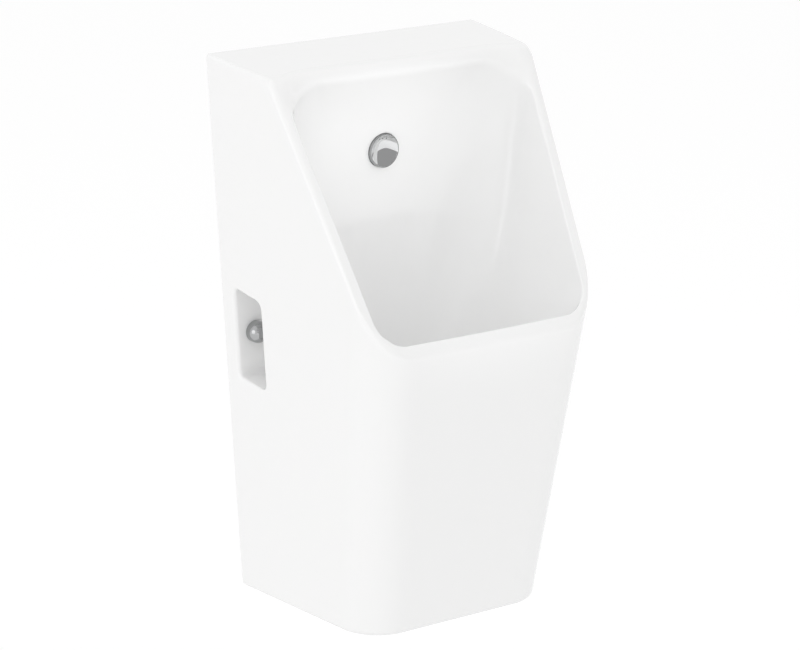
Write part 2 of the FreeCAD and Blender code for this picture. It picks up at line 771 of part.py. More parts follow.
os.makedirs("parts", exist_ok=True)
for name, shape in pieces.items():
    shape.translate(Vector(0, 0, -stud_height))
    shape.exportStep("parts/" + name + ".step")
    print(name, shape.isValid(), len(shape.Solids), round(shape.Volume))
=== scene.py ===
import json
import math

import bpy
import numpy as np
from mathutils import Matrix, Vector


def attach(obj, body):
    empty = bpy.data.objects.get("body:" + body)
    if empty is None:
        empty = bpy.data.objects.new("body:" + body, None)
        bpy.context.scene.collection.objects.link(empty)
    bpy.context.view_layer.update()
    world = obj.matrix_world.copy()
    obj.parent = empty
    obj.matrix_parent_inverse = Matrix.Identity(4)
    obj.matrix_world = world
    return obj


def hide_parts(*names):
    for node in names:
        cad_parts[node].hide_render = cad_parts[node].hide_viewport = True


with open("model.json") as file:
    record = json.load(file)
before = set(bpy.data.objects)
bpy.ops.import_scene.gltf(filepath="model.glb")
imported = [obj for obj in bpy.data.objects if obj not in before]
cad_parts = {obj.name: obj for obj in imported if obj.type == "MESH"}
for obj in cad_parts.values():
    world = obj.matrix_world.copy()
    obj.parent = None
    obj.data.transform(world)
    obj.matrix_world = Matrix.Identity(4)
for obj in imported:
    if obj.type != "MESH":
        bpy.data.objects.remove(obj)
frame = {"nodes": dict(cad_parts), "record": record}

scene = bpy.context.scene
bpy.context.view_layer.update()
mm = 0.001


# Small tools shared by the pieces

def toFrame(x, depth, height):
    # part sizes are in mm, depth out from the wall, height up from the underside
    p = np.stack(np.broadcast_arrays(x, -np.asarray(depth, float), height - ceramic["studHeight"]), -1)
    return p * mm


def addMesh(name, points, faces, smoothAngle=35.0):
    mesh = bpy.data.meshes.new(name)
    mesh.from_pydata(np.asarray(points).reshape(-1, 3).tolist(), [], faces)
    mesh.update()
    mesh.polygons.foreach_set("use_smooth", np.ones(len(mesh.polygons), bool))
    mesh.set_sharp_from_angle(angle=math.radians(smoothAngle))
    thing = bpy.data.objects.new(name, mesh)
    scene.collection.objects.link(thing)
    return thing


def quads(ids, closed=False):
    # ids is a grid of vertex numbers, rows by columns; closed joins the last column to the first
    if closed:
        ids = np.concatenate([ids, ids[:, :1]], 1)
    a, b, c, d = ids[:-1, :-1], ids[:-1, 1:], ids[1:, 1:], ids[1:, :-1]
    return np.stack([a, b, c, d], -1).reshape(-1, 4).tolist()


def curveThrough(start, control, end, steps, pull=0.56):
    # a cubic curve that leaves start and reaches end in the directions of the control point
    t = np.linspace(0, 1, steps + 1).reshape(-1, *[1] * start.ndim)
    a = start + (control - start) * pull
    b = end + (control - end) * pull
    return (1 - t) ** 3 * start + 3 * t * (1 - t) ** 2 * a + 3 * t ** 2 * (1 - t) * b + t ** 3 * end


def roundedLoop(corners, radii, where):
    # four corners joined by straight runs and arcs: where runs 0-8, arcs on 0-1, 2-3, 4-5, 6-7
    where = np.mod(where, 8)
    k = np.floor(where / 2).astype(int)
    t = where - 2 * k
    shape = np.broadcast_shapes(where.shape, radii.shape[1:])
    cs = [np.broadcast_to(corners[i], shape + corners.shape[-1:]) for i in range(4)]
    rs = [np.broadcast_to(radii[i], shape) for i in range(4)]
    k = np.broadcast_to(k, shape)
    t = np.broadcast_to(t, shape)[..., None]

    def pick(options, shift):
        index = (k + shift) % 4
        out = options[0]
        for i in range(1, 4):
            mask = index == i
            out = np.where(mask[..., None] if options[i].ndim > mask.ndim else mask, options[i], out)
        return out

    def unit(v):
        return v / np.linalg.norm(v, axis=-1, keepdims=True)

    def arcOf(shift):
        c, before, after = pick(cs, shift), pick(cs, shift - 1), pick(cs, shift + 1)
        r = pick(rs, shift)[..., None]
        toLast, toNext = unit(before - c), unit(after - c)
        half = np.arccos(np.clip((toLast * toNext).sum(-1, keepdims=True), -1, 1)) / 2
        reach = r / np.tan(half)
        centre = c + unit(toLast + toNext) * r / np.sin(half)
        return c + toLast * reach, c + toNext * reach, centre, np.pi - 2 * half

    first, last, centre, sweep = arcOf(0)
    nextFirst = arcOf(1)[0]
    turn = np.clip(t, 0, 1) * sweep
    e1 = first - centre
    e2 = ((last - centre) - e1 * np.cos(sweep)) / np.sin(sweep)
    onArc = centre + e1 * np.cos(turn) + e2 * np.sin(turn)
    onLine = last + (nextFirst - last) * np.clip(t - 1, 0, 1)
    return np.where(t <= 1, onArc, onLine)


def lathe(name, outline, steps, centre, axis="depth", ring=False, smoothAngle=35.0):
    # outline holds (radius, along) pairs in mm, and a rise of the ring's centre if it isn't round the axis,
    # turned about an axis through centre; flat ends close it, or the last ring meets the first
    outline = np.asarray(outline, float)
    rise = outline[:, 2:] if outline.shape[1] > 2 else 0.0
    turn = np.linspace(0, 2 * np.pi, steps, endpoint=False)
    a, b = outline[:, :1] * np.cos(turn), outline[:, :1] * np.sin(turn)
    along = np.broadcast_to(outline[:, 1:2], a.shape)
    x, depth, height = centre
    if axis == "depth":
        p = toFrame(x + a, depth + along, height + b + rise)
    else:
        p = toFrame(x + a, depth - b, height + along)
    ids = np.arange(a.size).reshape(a.shape)
    ends = [] if ring else [ids[0, ::-1].tolist(), ids[-1].tolist()]
    if ring:
        ids = np.concatenate([ids, ids[:1]])
    return addMesh(name, p, quads(ids, closed=True) + ends, smoothAngle)


def arc(r, along, size, start, end, steps=8):
    # points of an arc in an outline: its centre's radius and place, its size, and two angles from the axis
    t = np.radians(np.linspace(start, end, steps + 1))
    return np.stack([r + size * np.sin(t), along + size * np.cos(t)], -1)


def block(name, low, high):
    # a plain box between two corners, each x, depth, height in mm
    x, y, z = np.meshgrid([low[0], high[0]], [high[1], low[1]], [low[2], high[2]], indexing="ij")
    faces = [(0, 1, 3, 2), (4, 6, 7, 5), (0, 4, 5, 1), (2, 3, 7, 6), (0, 2, 6, 4), (1, 5, 7, 3)]
    return addMesh(name, toFrame(x, y, z), faces)


def carve(thing, tools):
    # takes the tools' solids out of the thing and removes the tools
    group = bpy.data.collections.new("tools")
    for tool in tools:
        group.objects.link(tool)
    cut = thing.modifiers.new("cut", "BOOLEAN")
    cut.operand_type = "COLLECTION"
    cut.collection = group
    cut.solver = "EXACT"
    cut.material_mode = "TRANSFER"
    done = bpy.data.meshes.new_from_object(thing.evaluated_get(bpy.context.evaluated_depsgraph_get()))
    thing.modifiers.clear()
    thing.data = done
    for tool in tools:
        bpy.data.objects.remove(tool)
    bpy.data.collections.remove(group)


# Materials, all worked out from object coordinates

def newMaterial(name, color, metallic=0.0, roughness=0.3):
    mat = bpy.data.materials.new(name)
    mat.use_nodes = True
    shader = mat.node_tree.nodes["Principled BSDF"]
    shader.inputs["Base Color"].default_value = (*color, 1)
    shader.inputs["Metallic"].default_value = metallic
    shader.inputs["Roughness"].default_value = roughness
    return mat, mat.node_tree, shader


def noiseInto(tree, socket, scale, low, high, detail=3.0, stretch=None):
    # noise in object coordinates, mapped to a range and fed into a socket
    where = tree.nodes.new("ShaderNodeTexCoord").outputs["Object"]
    if stretch:
        squeeze = tree.nodes.new("ShaderNodeMapping")
        squeeze.inputs["Scale"].default_value = stretch
        tree.links.new(where, squeeze.inputs["Vector"])
        where = squeeze.outputs["Vector"]
    noise = tree.nodes.new("ShaderNodeTexNoise")
    noise.inputs["Scale"].default_value = scale
    noise.inputs["Detail"].default_value = detail
    tree.links.new(where, noise.inputs["Vector"])
    spread = tree.nodes.new("ShaderNodeMapRange")
    spread.inputs["From Min"].default_value = 0.3
    spread.inputs["From Max"].default_value = 0.7
    spread.inputs["To Min"].default_value = low
    spread.inputs["To Max"].default_value = high
    tree.links.new(noise.outputs["Fac"], spread.inputs["Value"])
    tree.links.new(spread.outputs["Result"], socket)


def bumpInto(tree, shader, scale, distance, stretch=None):
    bump = tree.nodes.new("ShaderNodeBump")
    bump.inputs["Strength"].default_value = 0.25
    bump.inputs["Distance"].default_value = distance
    noiseInto(tree, bump.inputs["Height"], scale, 0.0, 1.0, stretch=stretch)
    tree.links.new(bump.outputs["Normal"], shader.inputs["Normal"])


glaze, tree, shader = newMaterial("glaze", (0.965, 0.965, 0.963))
shader.inputs["IOR"].default_value = 1.5
noiseInto(tree, shader.inputs["Roughness"], 9, 0.06, 0.12)
bumpInto(tree, shader, 16, 0.0004)

bisque, tree, shader = newMaterial("unglazed_ceramic", (0.82, 0.815, 0.80))
noiseInto(tree, shader.inputs["Roughness"], 40, 0.7, 0.9)
bumpInto(tree, shader, 260, 0.0003)

chrome, tree, shader = newMaterial("chrome", (0.76, 0.765, 0.77), metallic=1.0)
noiseInto(tree, shader.inputs["Roughness"], 60, 0.03, 0.06)

# painted shade: a darker copy of chrome, so that the spray flange and the stud caps in their pockets reflect
# darker
shadedChrome, tree, shader = newMaterial("shaded_chrome", (0.42, 0.425, 0.43), metallic=1.0)
noiseInto(tree, shader.inputs["Roughness"], 60, 0.05, 0.09)

brass, tree, shader = newMaterial("brass", (0.62, 0.44, 0.19), metallic=1.0)
noiseInto(tree, shader.inputs["Roughness"], 90, 0.22, 0.38)
bumpInto(tree, shader, 700, 0.00006)

steel, tree, shader = newMaterial("brushed_steel", (0.56, 0.56, 0.55), metallic=1.0)
noiseInto(tree, shader.inputs["Roughness"], 120, 0.22, 0.36, stretch=(1, 9, 1))

zinc, tree, shader = newMaterial("zinc_plated_steel", (0.58, 0.59, 0.60), metallic=1.0)
noiseInto(tree, shader.inputs["Roughness"], 150, 0.28, 0.5)
bumpInto(tree, shader, 900, 0.00005)

rubber, tree, shader = newMaterial("black_rubber", (0.025, 0.025, 0.027))
noiseInto(tree, shader.inputs["Roughness"], 300, 0.6, 0.8)
bumpInto(tree, shader, 1500, 0.00005)

plastic, tree, shader = newMaterial("white_plastic", (0.78, 0.78, 0.77))
noiseInto(tree, shader.inputs["Roughness"], 140, 0.32, 0.45)
bumpInto(tree, shader, 900, 0.00004)

# Ceramic: one glazed skin, worked out in mm, then hollowed from behind

ceramic = {
    "height": 580.0, "topWidth": 346.0, "bottomWidth": 250.0, "frontNarrowing": 13.6,
    "topDepth": 105.0, "topFall": 10.0, "lipDepth": 259.0, "lipHeight": 308.0, "bottomDepth": 216.0,
    "studHeight": 286.0, "cornerR": 46.0, "browR": 18.0, "backRound": 3.0, "underRound": 6.0,
    "sideEdge": 7.0, "lipEdge": 4.0, "tipEdge": 9.0,      # how far the outer rounding reaches in
    "sideInner": 3.0, "lipInner": 4.5, "browInner": 18.0,  # the same for the opening's edge
    "rimWidth": 13.0, "lipRimWidth": 15.5, "browRimWidth": 4.0, "browCornerR": 45.0, "lipCornerR": 32.0,
    "bowlBackDepth": 72.0, "floorHeight": 172.0, "floorDepth": 146.0, "floorR": 34.0,
    "backPower": 4.0, "sprayHeight": 471.5, "frontPower": 1.6, "sidePower": 2.0, "fullness": 0.97,
    "windowBack": 22.0, "windowFront": 67.2, "windowLow": 240.1, "windowHigh": 335.5, "windowFall": 5.8,
    "windowR": (6.0, 6.0, 11.0, 6.0), "pocketX": 104.0, "windowMargin": 8.0,
    "windowEdge": (4.5, 1.6), "windowEdgeShare": 0.6,       # soft at the back, crisp past this share
    "tipSpread": 30.0, "crowdShare": 1.2, "crowdRun": (20.0, 80.0), "fallPower": 1.7,
    "sideColumns": (41, 23), "cornerColumns": 29, "frontColumns": 19, "backColumns": 62,
    "wallRows": (22, 47, 22), "edgeSteps": 8, "topRings": 22, "bowlRings": 84,
    "spaceColumns": 19, "spaceRings": 9, "shellColumns": 128, "shellRings": 48,
    "wall": 11.0, "past": 20.0, "pocketWall": 8.0,          # past is how far a cutting tool runs out
    "studX": 125.0, "studHoleR": 7.0, "serviceR": 52.0, "drainHoleR": 24.0,
    "sprayHoleR": 11.5, "spraySeatR": 18.4, "spraySeatDepth": 68.0,
    "sprayBossR": 21.0, "sprayRearDepth": 58.0,
}


def halfWidth(depth, height):
    c = ceramic
    back = c["bottomWidth"] / 2 + (c["topWidth"] - c["bottomWidth"]) / 2 * height / c["height"]
    return back - c["frontNarrowing"] / 2 * depth / c["lipDepth"]


def frontDepth(height):
    c = ceramic
    return c["bottomDepth"] + (c["lipDepth"] - c["bottomDepth"]) * height / c["lipHeight"]


def topHeight(depth):
    # the top's line and the rim's line in side view, joined by the brow's arc
    c = ceramic
    brow = np.array([c["topDepth"], c["height"] - c["topFall"]])
    topRun = np.array([-c["topDepth"], c["topFall"]])
    rimRun = np.array([c["lipDepth"], c["lipHeight"]]) - brow
    toTop, toRim = topRun / np.hypot(*topRun), rimRun / np.hypot(*rimRun)
    half = math.acos(toTop @ toRim) / 2
    middle = (toTop + toRim) / np.hypot(*(toTop + toRim))
    centre = brow + middle * c["browR"] / math.sin(half)
    reach = c["browR"] / math.tan(half)
    arcBack, arcFront = brow + toTop * reach, brow + toRim * reach
    d = np.asarray(depth, float)
    onTop = brow[1] + (d - brow[0]) * toTop[1] / toTop[0]
    onRim = brow[1] + (d - brow[0]) * toRim[1] / toRim[0]
    onArc = centre[1] + np.sqrt(np.maximum(c["browR"] ** 2 - (d - centre[0]) ** 2, 0))
    return np.where(d < arcBack[0], onTop, np.where(d > arcFront[0], onRim, onArc))


def leftWall(q, height):
    # left half of the outline at a height: q 0-1 the back edge's rounding, 1-2 the side,
    # 2-3 the front corner's arc, 3-3.5 the front up to the middle
    c = ceramic
    q, height = np.broadcast_arrays(np.asarray(q, float), np.asarray(height, float))
    k = c["frontNarrowing"] / 2 / c["lipDepth"]
    norm = math.hypot(1, k)
    sweep = math.pi / 2 - math.atan(k)
    reach = c["cornerR"] * math.tan(sweep / 2)
    front = frontDepth(height)
    startDepth = front - reach / norm
    startX = -halfWidth(startDepth, height)
    turn = np.clip(1 - q, 0, 1) * math.pi / 2
    backX = -halfWidth(c["backRound"], height) + c["backRound"] * (1 - np.cos(turn))
    backD = c["backRound"] * (1 - np.sin(turn))
    sideD = c["backRound"] + np.clip(q - 1, 0, 1) * (startDepth - c["backRound"])
    sideX = -halfWidth(sideD, height)
    bend = np.clip(q - 2, 0, 1) * sweep
    arcX = startX + c["cornerR"] * ((1 - np.cos(bend)) + k * np.sin(bend)) / norm
    arcD = startDepth + c["cornerR"] * (np.sin(bend) - k * (1 - np.cos(bend))) / norm
    endX = startX + c["cornerR"] * ((1 - math.cos(sweep)) + k * math.sin(sweep)) / norm
    frontX = endX * (1 - np.clip(q - 3, 0, 0.5) * 2)
    x = np.select([q < 1, q < 2, q < 3], [backX, sideX, arcX], frontX)
    d = np.select([q < 1, q < 2, q < 3], [backD, sideD, arcD], front)
    return x, d


def bowlPoint(turn, where, grow=0.0):
    # the bowl's section at a turn (0 at the rim, a quarter turn at the floor): a rounded
    # trapezoid whose back edge sinks behind the brow and whose sides close in on the floor
    c = ceramic
    brow = np.array([c["topDepth"], c["height"] - c["topFall"]])
    lip = np.array([c["lipDepth"], c["lipHeight"]])
    down = (lip - brow) / np.hypot(*(lip - brow))
    backTop = brow + down * c["browRimWidth"]
    frontTop = lip - down * c["lipRimWidth"]
    fall, reach = np.sin(turn), np.cos(turn)
    backFoot, frontFoot = c["floorDepth"] - c["floorR"], c["floorDepth"] + c["floorR"]
    atSpray = (backTop[1] - c["sprayHeight"]) / (backTop[1] - c["floorHeight"])
    hollow = backTop[0] + (backFoot - backTop[0]) * atSpray - c["bowlBackDepth"]
    hollow = hollow / (1 - abs(1 - 2 * atSpray) ** c["backPower"])
    bulge = hollow * (1 - np.abs(1 - 2 * fall) ** c["backPower"])
    backD = backTop[0] + (backFoot - backTop[0]) * fall - bulge - grow
    backH = backTop[1] + (c["floorHeight"] - backTop[1]) * fall - grow * fall
    frontD = frontFoot + (frontTop[0] - frontFoot) * np.maximum(reach, 0) ** c["frontPower"] + grow
    frontH = frontTop[1] + (c["floorHeight"] - frontTop[1]) * fall - grow * fall
    closing = np.maximum(reach, 0) ** c["sidePower"]
    halfBack = c["floorR"] + (halfWidth(backD, backH) - c["rimWidth"] - c["floorR"]) * closing + grow
    halfFront = c["floorR"] + (halfWidth(frontD, frontH) - c["rimWidth"] - c["floorR"]) * closing + grow
    halfLength = np.hypot(backD - frontD, backH - frontH) / 2
    ramp = 1 - (1 - fall) ** 2
    roundBack = c["fullness"] * np.minimum(halfBack, halfLength)
    roundFront = c["fullness"] * np.minimum(halfFront, halfLength)
    rBack = c["browCornerR"] + (roundBack - c["browCornerR"]) * ramp
    rFront = c["lipCornerR"] + (roundFront - c["lipCornerR"]) * ramp
    back = np.stack([-halfBack, backD, backH], -1)
    front = np.stack([-halfFront, frontD, frontH], -1)
    flip = np.array([-1.0, 1.0, 1.0])
    corners = np.stack([back, front, front * flip, back * flip])
    return roundedLoop(corners, np.stack([rBack, rFront, rFront, rBack]), where)


def ceramicSkin():
    c = ceramic
    # columns of the outline, dense beside the window, then mirrored
    aroundWindow = (c["windowFront"] + 2 * c["windowMargin"]) / (frontDepth(c["studHeight"]) - c["cornerR"])
    dense, wide = c["sideColumns"]
    sideSteps = np.concatenate([np.linspace(0, aroundWindow, dense)[:-1],
                                np.linspace(aroundWindow, 1, wide)[:-1]])
    q = np.concatenate([np.linspace(0, 1, 6)[:-1], 1 + sideSteps,
                        2 + np.linspace(0, 1, c["cornerColumns"])[:-1],
                        3 + np.linspace(0, 0.5, c["frontColumns"])])
    middle = len(q) - 1
    qAll = np.concatenate([q, q[-2::-1]])
    sign = np.where(np.arange(len(qAll)) <= middle, 1.0, -1.0)

    def wall(height):
        x, d = leftWall(qAll, height)
        return np.stack([x * sign, d, np.broadcast_to(height, d.shape)], -1)

    # the sharp top edge, found by going between the outline and the top's side view
    edgeH = np.full(len(qAll), c["lipHeight"])
    for _ in range(40):
        edgeH = topHeight(leftWall(qAll, edgeH)[1])
    edge = wall(edgeH)

    # the back edge of the top, from right to left
    backX = np.linspace(-edge[0, 0], edge[0, 0], c["backColumns"])[1:-1]
    backEdge = np.stack([backX, np.zeros_like(backX), np.full_like(backX, topHeight(0.0))], -1)
    allEdge = np.concatenate([edge, backEdge])

    # where each column meets the opening
    openSide = bowlPoint(np.zeros(3), np.array([1.0, 2.0, 3.0]))
    arcStart = edge[np.argmin(np.abs(q - 2)), 1]
    leftWhere = np.where(q <= 2, np.interp(edge[:middle + 1, 1], [0, c["topDepth"], openSide[0, 1], arcStart],
                                           [0.25, 0.5, 1.0, 2.0]), q)
    where = np.concatenate([leftWhere, 7 - leftWhere[-2::-1]])
    cornerX = -bowlPoint(np.zeros(1), np.array([0.0]))[0, 0]
    backWhere = np.interp(-backX, [edge[0, 0], -cornerX, cornerX, -edge[0, 0]], [6.75, 7.0, 8.0, 8.25])
    where = np.concatenate([where, backWhere])
    opening = bowlPoint(np.zeros(len(where)), where)

    # how far the roundings reach, from column to column
    run = np.linalg.norm(opening - allEdge, axis=-1)
    lipShare = np.interp(np.clip(qAll, 2, 3), [2, 3], [0, 1])
    outer = c["sideEdge"] + (c["lipEdge"] - c["sideEdge"]) * lipShare
    nearTip = np.exp(-((edge[:, 1] - c["topDepth"]) / c["tipSpread"]) ** 2)
    outer = outer + (c["tipEdge"] - c["sideEdge"]) * nearTip
    outer = np.where(qAll < 1, c["backRound"] + (outer - c["backRound"]) * qAll, outer)
    outer = np.concatenate([outer, np.full(len(backX), c["backRound"])])
    w = np.mod(where, 8)
    toLip = np.interp(w, [0, 2, 3, 4, 5, 8], [0, 0, 1, 1, 0, 0])
    toBrow = np.interp(w, [0, 0.5, 1.3, 5.7, 6.5, 8], [1, 1, 0, 0, 1, 1])
    inner = c["sideInner"] + (c["lipInner"] - c["sideInner"]) * toLip
    inner = inner + (c["browInner"] - c["sideInner"]) * toBrow
    inner = np.minimum(inner, run - outer - 1)                           # never over the outer rounding

    def onTop(share):
        p = allEdge + (opening - allEdge) * share[:, None]
        p[:, 2] = topHeight(p[:, 1])
        return p

    shareOut, shareIn = outer / run, 1 - inner / run
    belowBack = backEdge - np.outer(outer[len(qAll):], [0, 0, 1])
    below = np.concatenate([wall(edgeH - outer[:len(qAll)]), belowBack])
    outerRows = curveThrough(below, allEdge, onTop(shareOut), c["edgeSteps"])
    crowd = 1 + c["crowdShare"] * np.interp(run, c["crowdRun"], [0, 1])  # long runs get finer near the bowl
    steps = np.linspace(0, 1, c["topRings"] + 1)[1:-1]
    topRows = np.stack([onTop(shareOut + (shareIn - shareOut) * (1 - (1 - s) ** crowd)) for s in steps])
    tiny = 1e-4
    speed = np.linalg.norm(bowlPoint(np.full(len(where), tiny), where) - opening, axis=-1) / tiny
    firstTurn = inner / speed
    turned = opening.copy()
    turned[:, 2] = topHeight(opening[:, 1])
    innerRows = curveThrough(onTop(shareIn), turned, bowlPoint(firstTurn, where), c["edgeSteps"])
    fallSteps = np.linspace(0, 1, c["bowlRings"] + 1)[1:, None] ** c["fallPower"]
    turns = firstTurn + (math.pi / 2 - firstTurn) * fallSteps
    bowlRows = bowlPoint(turns, np.broadcast_to(where, turns.shape))
    rings = np.concatenate([outerRows, topRows, innerRows, bowlRows])

    # the walls, from the underside's rounding up to the first ring
    inward = np.clip(qAll - 2, 0, 1) * math.pi / 2
    foot = wall(np.zeros(len(qAll)))
    under = foot + c["underRound"] * np.stack([np.cos(inward) * sign, -np.sin(inward), 0 * inward], -1)
    footRows = curveThrough(under, foot, wall(np.full(len(qAll), c["underRound"])), c["edgeSteps"])
    low = c["windowLow"] - c["windowFall"] - 2 * c["windowMargin"]
    high = c["windowHigh"] + 2 * c["windowMargin"]
    top = edgeH[np.argmin(np.abs(q - 1.3))]
    lowRows, midRows, highRows = c["wallRows"]
    rise = np.concatenate([np.linspace(0, low / top, lowRows)[1:-1],
                           np.linspace(low / top, high / top, midRows),
                           np.linspace(high / top, 1, highRows)[1:-1]])
    wallHeights = c["underRound"] + (edgeH - outer[:len(qAll)] - c["underRound"]) * rise[:, None]
    wallRows = np.stack([wall(h) for h in wallHeights])
    curtain = np.concatenate([footRows, wallRows])

    count = curtain.shape[0] * curtain.shape[1]
    curtainIds = np.arange(count).reshape(curtain.shape[:2])
    ringIds = count + np.arange(rings.shape[0] * rings.shape[1]).reshape(rings.shape[:2])
    grid = np.concatenate([curtainIds, ringIds[:1, :len(qAll)]])
    points = [curtain.reshape(-1, 3), rings.reshape(-1, 3)]
    size = count + rings.shape[0] * rings.shape[1]
    faces = quads(ringIds, closed=True)
    faces.append(ringIds[-1].tolist())                                   # the flat floor
    faces.append(curtainIds[0, ::-1].tolist())                           # the underside
    loop = np.concatenate([grid[:, 0], ringIds[0, :len(qAll) - 1:-1], grid[::-1, -1]])
    faces.append(loop[::-1].tolist())                                    # the back, on the wall

    # a window in each side: the wall's cells give way to rings that lead into the pocket
    keep = np.ones((grid.shape[0] - 1, grid.shape[1] - 1), bool)
    allRows = np.concatenate([curtain, rings[:1, :len(qAll)]])
    for leftSide in (True, False):
        columns = np.arange(len(qAll)) if leftSide else np.arange(len(qAll))[::-1]
        row = np.argmin(np.abs(allRows[:, columns[20], 2] - c["studHeight"]))
        depths = allRows[row, columns, 1]
        heights = allRows[:, columns[20], 2]
        onSide = (qAll[columns] >= 1) & (np.arange(len(columns)) < middle)
        c0 = np.nonzero(onSide & (depths < c["windowBack"] - c["windowMargin"]))[0].max()
        c1 = np.nonzero(onSide & (depths > c["windowFront"] + c["windowMargin"]))[0].min()
        r0 = np.nonzero(heights < c["windowLow"] - c["windowFall"] - c["windowMargin"])[0].max()
        r1 = np.nonzero(heights > c["windowHigh"] + c["windowMargin"])[0].min()
        sides = [grid[r0, columns[c0:c1]], grid[r0:r1, columns[c1]],
                 grid[r1, columns[c1:c0:-1]], grid[r1:r0:-1, columns[c0]]]
        border = np.concatenate(sides)
        cells = np.sort(columns[[c0, c1]])
        keep[r0:r1, cells[0]:cells[1]] = False
        at = np.concatenate([2 * k + 0.5 + 2 * np.linspace(0, 1, len(s), endpoint=False)
                             for k, s in enumerate(sides)])
        flip = -1.0 if leftSide else 1.0

        # the window's outline, falling towards the room, in even steps between its corners' middles
        b, f, fall = c["windowBack"], c["windowFront"], c["windowFall"]
        lo, hi = c["windowLow"], c["windowHigh"]
        corners = np.array([[b, lo], [f, lo - fall], [f, hi - fall], [b, hi]])
        radii = np.array(c["windowR"])[:, None]
        fine = np.linspace(0.5, 8.5, 1601)
        track = roundedLoop(corners, radii, fine)
        along = np.concatenate([[0], np.cumsum(np.linalg.norm(np.diff(track, axis=0), axis=-1))])
        marks = np.interp(at, [0.5, 2.5, 4.5, 6.5, 8.5], along[[0, 400, 800, 1200, 1600]])
        hole = np.stack([np.interp(marks, along, track[:, k]) for k in (0, 1)], -1)
        ahead = np.roll(hole, -1, 0) - np.roll(hole, 1, 0)
        outward = np.stack([ahead[:, 1], -ahead[:, 0]], -1) / np.linalg.norm(ahead, axis=-1, keepdims=True)
        wideEdge, fineEdge = c["windowEdge"]
        soft = np.interp(hole[:, 0], [b, b + c["windowEdgeShare"] * (f - b)], [wideEdge, fineEdge])

        def windowRing(grow, sink):
            # the outline grown by a width, at a distance in from the side's face or at the pocket's end
            p = hole + outward * np.asarray(grow)[:, None]
            across = np.full(len(p), c["pocketX"]) if sink is None else halfWidth(p[:, 0], p[:, 1]) - sink
            return np.stack([flip * across, p[:, 0], p[:, 1]], -1)

        none = np.zeros(len(hole))
        start = np.concatenate(points)[border]
        lipRing = windowRing(soft, none)
        flat = start + (lipRing - start) * np.linspace(0, 1, 5)[1:-1, None, None]
        curve = curveThrough(lipRing, windowRing(none, none), windowRing(none, soft), c["edgeSteps"])
        inside = windowRing(none, None)
        walls = curve[-1] + (inside - curve[-1]) * np.linspace(0, 1, 7)[1:, None, None]
        patch = np.concatenate([flat, curve, walls])
        ids = size + np.arange(patch.shape[0] * patch.shape[1]).reshape(patch.shape[:2])
        size += ids.size
        points.append(patch.reshape(-1, 3))
        ids = np.concatenate([border[None], ids])
        if not leftSide:
            ids = ids[:, ::-1]
        faces += quads(ids, closed=True)
        faces.append(ids[-1].tolist())
    cells = np.array(quads(grid))
    faces += cells[keep.reshape(-1)].tolist()
    p = np.concatenate(points)
    return addMesh("ceramic_body_glazed", toFrame(p[:, 0], p[:, 1], p[:, 2]), faces)


def innerSpace():
    # the body's block, one wall smaller and run out through the back: the left outline's columns at
    # each height, mirrored, with a lid of strips from left to right under the top and the rim
    c = ceramic
    k = np.concatenate([[0], np.linspace(1, 2, c["spaceColumns"])])      # 0-1 the side, 1-2 the corner's arc
    r = c["cornerR"] - c["wall"]
    slope = (c["lipDepth"] - c["bottomDepth"]) / c["lipHeight"]
    rimSlope = (c["height"] - c["topFall"] - c["lipHeight"]) / (c["lipDepth"] - c["topDepth"])
    bend = np.clip(k - 1, 0, 1) * math.pi / 2

    def outline(height):
        start = frontDepth(height) - c["wall"] * math.hypot(1, slope) - r
        d = np.where(k < 1, -c["past"], start + r * np.sin(bend))
        x = -halfWidth(np.minimum(d, start), height) + c["wall"] + r * (1 - np.cos(bend))
        return x, d

    lid = np.full(len(k), c["lipHeight"])
    for _ in range(40):
        d = outline(lid)[1]
        underTop = c["height"] - c["topFall"] * d / c["topDepth"] - c["wall"]
        underRim = c["lipHeight"] + (c["lipDepth"] - d) * rimSlope - c["wall"] * math.hypot(1, rimSlope)
        lid = np.minimum(underTop, underRim)
    height = c["wall"] + (lid - c["wall"]) * np.linspace(0, 1, c["spaceRings"])[:, None]
    x, d = outline(height)
    p = toFrame(np.concatenate([x, -x[:, ::-1]], 1), np.concatenate([d, d[:, ::-1]], 1),
                np.concatenate([height, height[:, ::-1]], 1))
    ids = np.arange(p.shape[0] * p.shape[1]).reshape(p.shape[:2])
    left, right = ids[-1, :len(k)], ids[-1, :len(k) - 1:-1]
    strips = np.stack([left[:-1], left[1:], right[1:], right[:-1]], -1)
    return addMesh("space", p, quads(ids, closed=True) + strips.tolist() + [ids[0, ::-1].tolist()])


def bowlBack():
    # the bowl's own sections grown by the wall, carried on above the rim
    c = ceramic
    where = np.linspace(0, 8, c["shellColumns"], endpoint=False)
    turns = np.linspace(math.pi / 2, 0, c["shellRings"])[:, None]
    rows = bowlPoint(np.broadcast_to(turns, (c["shellRings"], c["shellColumns"])), where, c["wall"])
    run, rise = c["lipDepth"] - c["topDepth"], c["height"] - c["topFall"] - c["lipHeight"]
    out = 2 * c["past"] * np.array([0, rise, run]) / math.hypot(run, rise)
    p = np.concatenate([rows, rows[-1:] + out])
    ids = np.arange(p.shape[0] * p.shape[1]).reshape(p.shape[:2])
    faces = quads(ids, closed=True) + [ids[0, ::-1].tolist(), ids[-1].tolist()]
    return addMesh("bowl_back", toFrame(p[..., 0], p[..., 1], p[..., 2]), faces)


